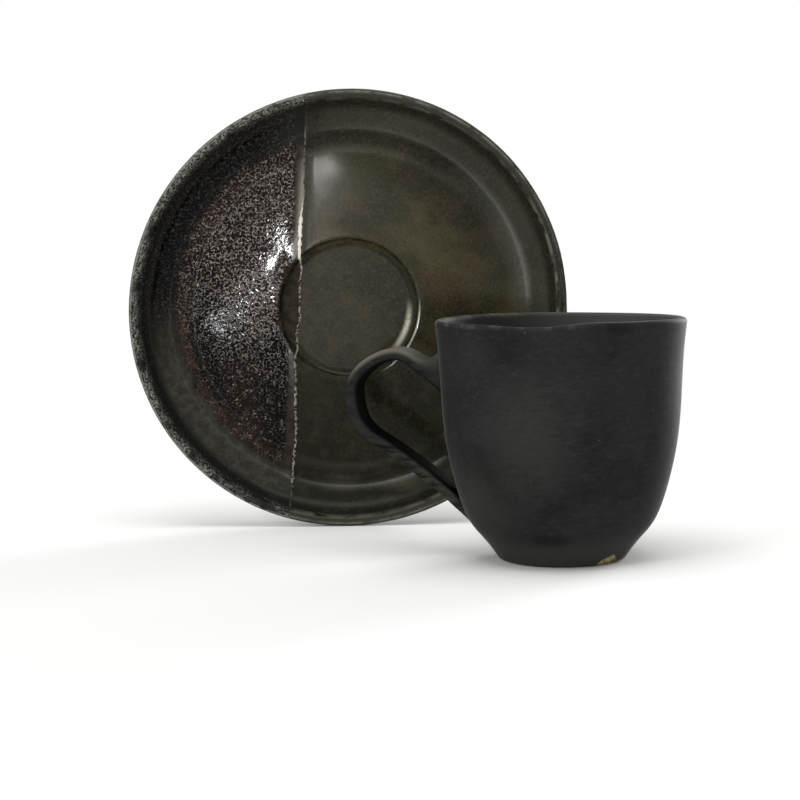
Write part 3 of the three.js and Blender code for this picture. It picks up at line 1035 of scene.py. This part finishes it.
speckled = {
    "black": (7, 6, 6),
    "plum": (29, 19, 17),
    "rust": (43, 30, 21),
    "burnt": (60, 43, 31),
    "besideDip": (36, 36, 32),
    "streak": (128, 123, 107),
    "fleck": (88, 79, 72),
    "paleFleck": (146, 136, 127),
    "dimFleck": (72, 69, 63),
    "cove": (7, 7, 7),
    "paleCove": (58, 53, 47),
    "coveGreen": (43, 43, 36),
    "wall": (25, 25, 23),
    "lip": (132, 131, 124),
    "band": (32, 28, 22),
    "paleBand": (46, 42, 34),
    "line": (9, 8, 7),
    "patterns": {
        "clouds": (30, 2, 0.5), "rusty": (18, 3, 0.55), "burntNoise": (3.5, 3, 0.6),
        "netBreaks": (1.1, 2, 0.65), "curlNoise": (1.5, 1, 0.5, 0.5), "curlBreaks": (1.9, 2, 0.6),
        "wander": (6, 3, 0.6), "sparseNoise": (2.4, 2), "brightNoise": (1.6, 3, 0.7),
        "patchy": (3.2, 3, 0.6), "lineBreaks": (3, 2), "lipNoise": (0.9, 4, 0.75),
        "lipBreaks": (8, 2), "lumps": (1.3, 1),
    },
    "places": {"calmAway": (onSaucer(-27.6, 14.2), (1, 0, 1))},
    "warmth": 0.0032,  # per mm upwards
    "slant": 0.35,
    "wanderReach": 8.0,
    "bend": (10 / 7, 1.6),  # lump size, reach
    "netSize": 1.45,
    "grainSize": 3.0,
    "masks": {
        "edgeRing": ((("ring", "radius", 63.2, 3.4), ("z", 12, -12)),),
        "rusted": ((("rusty", 0.54, 0.7, 0.6), ("z", -30, 0)), (("share", "edgeRing", 0, 0.5),)),
        "grains": ((("grainCells", 0.13, 0.06), ("clouds", 0.40, 0.60)),),
        "net": (
            ("grains",),
            (("netCells", 0.15, 0.04), ("netBreaks", 0.45, 0.57)),
            (("curlLevel", 0.045, 0.015), ("curlBreaks", 0.53, 0.62))),
        "sparse": ((("slanted", -14, -52, 0.8), ("sparseNoise", 0.60, 0.46)),),
        "flecks": (("net", ("share", "sparse", 1, 0), ("side", -2.0, -4.2),
                    ("radius", 25.8, 28.0), ("wandering", 66.5, 63.0, 1.0, 0.16)),),
        "bright": (("brightNoise",), (("share", "grains", 0, 0.62),)),
        "plain": ((("side", -4.2, -2.0),), (("radius", 28.0, 25.8),)),
        "lipPale": (
            (("radius", 77.2, 79.2), ("lipNoise", 0.45, 0.60), ("lipBreaks", 0.30, 0.58)),
            (("ring", "radius", 81.3, 0.5), ("patchy", 0.36, 0.5))),
        "coveMatt": ((("radius", 63, 68), ("radius", 77.2, 79.2, 0.25, 0.10)),),
        "matt": (
            (("radius", 28.0, 26.5, 0.58),),
            (("radius", 58.0, 60.0), ("radius", 69.0, 66.5, 0.58)),
            (("side", -4.2, -2.0, 0.17),)),
        "uneven": ((("calmAway", 10.0, 4.0, 0.25, 1.0),),),
    },
    "mixes": {
        "mottledCove": ("coveGreen", ("paleCove", ("patchy", 0.42, 0.60))),
        "coveTone": ("cove", ("mottledCove", ("z", 12, -28))),
        "plainTone": ("band", ("paleBand", ("patchy", 0.4, 0.6))),
        "fleckTone": (
            "fleck",
            ("paleFleck", ("bright", 0.42, 0.62)),
            ("dimFleck", ("slanted", 12, -44), ("share", "grains", 0.8, 0.2))),
    },
    "layers": (
        "black",
        ("plum", ("warm", 0.38, 0.62)),
        ("rust", "rusted"),
        ("burnt", ("share", "edgeRing", 0, 0.7), ("burntNoise", 0.46, 0.66)),
        ("coveTone", ("wandering", 63.5, 67.0)),
        ("wall", ("radius", 73.5, 76.0)),
        ("besideDip", ("radius", 62.5, 66.0), ("side", -20, -2), ("z", 30, 50, 0.75)),
        ("plainTone", "plain", ("radius", 68, 64)),
        # painted highlight: a pale streak beside the dip line above the well
        ("streak", ("side", -2.8, 0.4, 0.85), ("z", 12, 26), ("z", 66, 42)),
        ("line", ("ring", "radius", 26.0, 0.9), ("lineBreaks", 0.3, 0.5)),
        ("fleckTone", "flecks"),
        ("lip", ("share", "lipPale", 0, 0.85))),
    "roughness": (0.03, 0.3),
    "lumpRelief": (0.042, 0.38),
    "specular": 0.055,
}


def speckledFinish():
    # near-black glaze over plum and rust under a thin broken net: cell edges bent by noise, curls along
    # a noise level and a few round grains
    made, values = saucerStart("speckledGlaze", speckled)
    x, z = values["x"], values["z"]
    flat = put("ShaderNodeCombineXYZ", {"X": times(x, mm), "Y": times(z, mm)})
    size, reach = speckled["bend"]
    by = (reach * mm, reach * mm, 0.0)
    inputs = {"Vector": noise(flat, size, out=1), "Vector_001": by, "Vector_002": flat}
    bent = put("ShaderNodeVectorMath", inputs, operation="MULTIPLY_ADD")
    values["netCells"] = cells(bent, speckled["netSize"], "DISTANCE_TO_EDGE", "2D")
    values["grainCells"] = cells(flat, speckled["grainSize"], "F1", "2D")
    values["curlLevel"] = maths("ABSOLUTE", centred(values["curlNoise"], 1.0))
    wander = centred(values["wander"], speckled["wanderReach"])
    values["wandering"] = plus(values["radius"], wander)
    values["slanted"] = plus(z, x, speckled["slant"])
    values["warm"] = plus(values["clouds"], z, speckled["warmth"])
    colour = mixed(speckled, values)
    rough = glazeRough(speckled, values, values["flecks"])
    normal = relief(centred(values["lumps"], values["uneven"]), *speckled["lumpRelief"])
    finishMaterial(colour, rough, normal, speckled["specular"])
    return made


seam = {
    "bright": (228, 225, 212),
    "pale": (140, 135, 120),
    "brown": (78, 72, 59),
    "faint": (84, 82, 70),
    "pit": (24, 20, 16),
    "end": (36, 34, 29),
    "patterns": {"lumps": (1.5, 3, 0.65), "pitBreaks": (3.6, 2)},
    "cells": {"pitCells": 1.15},
    "masks": {
        "lit": ((("z", 14, 21), ("z", 46, 30)),),
        "pits": ((("share", "lit", 1, 0), ("pitCells", 0.52, 0.34), ("pitBreaks", 0.26, 0.42)),),
    },
    "layers": (
        "brown",
        ("pale", ("lumps", 0.36, 0.6)),
        ("faint", ("z", 30, 44, 0.75)),
        # painted highlight on the bead above the well
        ("bright", "lit"),
        ("pit", "pits"),
        ("end", ("radius", 68, 72, 0.8))),
    "roughness": (0.14, 0.3),
    "lumpRelief": (0.06, 0.5),
    "pitRelief": (-0.06, 0.5),
    "specular": 0.12,
}


def seamFinish():
    # pale crawled bead with a painted highlight above the well, and dark pits along the rest of it
    made, values = saucerStart("seamGlaze", seam)
    colour = mixed(seam, values)
    lumps = values["lumps"]
    normal = relief(lumps, *seam["lumpRelief"], relief(values["pits"], *seam["pitRelief"]))
    rough = spread(lumps, *seam["roughness"])
    finishMaterial(colour, rough, normal, seam["specular"])
    return made


footBack = saucer["centre"][1]
clay = {
    "dark": (34, 30, 27),
    "pale": (50, 44, 38),
    "turned": (66, 58, 50),
    "paleGrain": (78, 68, 58),
    "foot": (128, 112, 88),
    "darkFoot": (104, 90, 70),
    "patterns": {"clouds": (24, 3, 0.55), "grain": (0.9, 3, 0.65), "footBreaks": (4, 3)},
    "wavesPerMm": 2.6,  # radians
    "mixes": {
        "footTone": ("darkFoot", ("foot", "grain")),
    },
    "layers": (
        "dark",
        ("pale", ("clouds", 0.36, 0.64)),
        ("turned", ("waves", 0.2, 0.95, 0.18)),
        ("paleGrain", ("grain", 0.55, 0.75, 0.35)),
        ("footTone", ("y", footBack - 0.7, footBack - 0.2), ("footBreaks", 0.3, 0.46))),
    "roughness": (0.5, 0.75),
    "grainRelief": (0.05, 0.6),
    "waveRelief": (0.02, 0.5),
    "specular": 0.15,
}


def clayFinish():
    # dark stoneware: cloudy brown with turning rings, and a paler foot ring where it is rubbed bare
    made, values = saucerStart("saucerStoneware", clay)
    grain = values["grain"]
    values["waves"] = maths("SINE", times(values["radius"], clay["wavesPerMm"]))
    colour = mixed(clay, values)
    rough = spread(grain, *clay["roughness"])
    normal = relief(grain, *clay["grainRelief"], relief(values["waves"], *clay["waveRelief"]))
    finishMaterial(colour, rough, normal, clay["specular"])
    return made


cupPiece, cupWall = makeCup(cupFinish())
handlePiece = makeHandle(cupWall, strapFinish())
print("cup and handle made")

clayPiece = makeSaucerClay(clayFinish())
leftCoat = makeCoat("speckledCoat", True, speckledFinish())
rightCoat = makeCoat("oliveCoat", False, oliveFinish())
beadPiece = makeBead(seamFinish())
print("saucer made")

for piece, body, node, slot in (
        (cupPiece, "cup", "cup_body", "charcoal_stoneware"),
        (handlePiece, "cup", "cup_handle", "charcoal_handle"),
        (clayPiece, "saucer", "saucer_body", "saucer_stoneware"),
        (leftCoat, "saucer", "speckled_glaze", "speckled_glaze"),
        (rightCoat, "saucer", "olive_glaze", "olive_glaze"),
        (beadPiece, "saucer", "glaze_seam", "glaze_seam")):
    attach(piece, body)
    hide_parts(node)
print("pieces set on their bodies")


# Studio

studio = {
    "floorSize": 12000.0,
    "floorTone": (246, 246, 244),
    "floorShade": (236, 236, 234),
    "floorPattern": (300, 2),
    "floorMottle": 0.1,
    "farFloor": (130, 340),
    "worldLight": 0.45,
    "background": 1.0,
    # name: place, aim, size, radiance
    "lamps": {
        "keySoftbox": ((-950, -550, 600), (0, 0, 60), (700, 700), 1.8),
        "rightCard": ((800, 900, 300), (0, 0, 60), (500, 600), 13.0),
        "topSoftbox": ((50, -200, 1250), (0, 0, 60), (1000, 900), 3.0),
        "leftSpot": ((-700, -900, 650), (0, 0, 80), (140, 140), 32.0),
        "wideWindow": ((-60, -1439, 90), (-40, 60, 100), (180, 170), 0.85),
        "nearWindow": ((-132, -1439, 92), (-44, 60, 100), (22, 70), 360.0),
        "cornerWindow": ((-149, -1439, 45), (-40, 60, 97), (44, 22), 690.0),
        "highWindow": ((-111, -1439, 178), (-33, 60, 142), (20, 32), 98.0),
        "lowCard": ((-187, -1139, 24), (-70, 60, 82), (16, 9), 210.0),
        "lowCardRight": ((-174, -1139, 31), (-70, 60, 82), (11, 7), 210.0),
    },
}


def seenRays(tree):
    # 1 for camera, mirror and see-through rays
    rays = tree.nodes.new("ShaderNodeLightPath").outputs
    return most(rays["Is Camera Ray"], rays["Is Glossy Ray"], rays["Is Transmission Ray"])


def makeFloor():
    # pale flat sheet under the object, which goes over into the white background with distance
    half = studio["floorSize"] / 2
    corners = np.array([(-half, -half, 0), (half, -half, 0), (half, half, 0), (-half, half, 0)], float)
    made, tree = newMaterial("paleFloor")
    faint = times(noise(placed(tree), *studio["floorPattern"]), studio["floorMottle"])
    colour = mixTone(faint, studio["floorTone"], studio["floorShade"])
    sheet = put("ShaderNodeBsdfDiffuse", {"Color": colour})
    glow = put("ShaderNodeEmission", {"Color": (1, 1, 1, 1), "Strength": studio["background"]}, 0, tree)
    far = times(ramp(awayFrom(tree, (0, 0, 0)), *studio["farFloor"]), seenRays(tree))
    mixed = put("ShaderNodeMixShader", {"Fac": far, "Shader": sheet, "Shader_001": glow})
    put("ShaderNodeOutputMaterial", {"Surface": mixed}, None)
    mesh = bpy.data.meshes.new("floor")
    mesh.from_pydata((corners * mm).tolist(), [], [(0, 1, 2, 3)])
    mesh.materials.append(made)
    floor = bpy.data.objects.new("floor", mesh)
    scene.collection.objects.link(floor)


def makeWorld():
    # even pale surround: the camera and mirror-like rays see the background, the rest is the fill light
    world = bpy.data.worlds.new("studioWorld")
    scene.world = world
    world.use_nodes = True
    tree = world.node_tree
    tree.nodes.clear()
    strength = spread(seenRays(tree), studio["worldLight"], studio["background"])
    shade = put("ShaderNodeBackground", {"Color": (1, 1, 1, 1), "Strength": strength})
    put("ShaderNodeOutputWorld", {"Surface": shade}, None)


def makeLamp(name, place, aim, size, radiance):
    # rectangular lamp of a given radiance: power is radiance x pi x area
    lamp = bpy.data.lights.new(name, "AREA")
    lamp.shape = "RECTANGLE"
    lamp.size, lamp.size_y = size[0] * mm, size[1] * mm
    lamp.energy = radiance * math.pi * lamp.size * lamp.size_y
    made = bpy.data.objects.new(name, lamp)
    made.location = Vector(place) * mm
    made.rotation_euler = (Vector(aim) - Vector(place)).to_track_quat("-Z", "Y").to_euler()
    made.visible_camera = False
    scene.collection.objects.link(made)


makeFloor()
makeWorld()
for lampName, values in studio["lamps"].items():
    makeLamp(lampName, *values)
print("studio made")


# Camera

view = {
    "place": (3.53, -757.5, 123.2),
    "yaw": -0.118,
    "pitch": 5.339,
    "roll": 0.869,
    "lens": 97.11,
    "sensor": 36.0,
    "clip": (0.01, 100.0),  # metres
}


def makeCamera():
    # looks along +Y, turned by yaw, tipped down by pitch, then rolled about its own line of sight
    yaw, pitch, roll = (math.radians(view[k]) for k in ("yaw", "pitch", "roll"))
    ahead = Vector((math.sin(yaw) * math.cos(pitch), math.cos(yaw) * math.cos(pitch), -math.sin(pitch)))
    right = Vector((math.cos(yaw), -math.sin(yaw), 0.0))
    up = right.cross(ahead)
    side = right * math.cos(roll) - up * math.sin(roll)
    top = right * math.sin(roll) + up * math.cos(roll)
    lens = bpy.data.cameras.new("photoCamera")
    lens.lens = view["lens"]
    lens.sensor_width = view["sensor"]
    lens.clip_start, lens.clip_end = view["clip"]
    made = bpy.data.objects.new("photoCamera", lens)
    turn = Matrix((side, top, -ahead)).transposed()
    made.matrix_world = Matrix.Translation(Vector(view["place"]) * mm) @ turn.to_4x4()
    scene.collection.objects.link(made)
    scene.camera = made


makeCamera()
print("camera made")
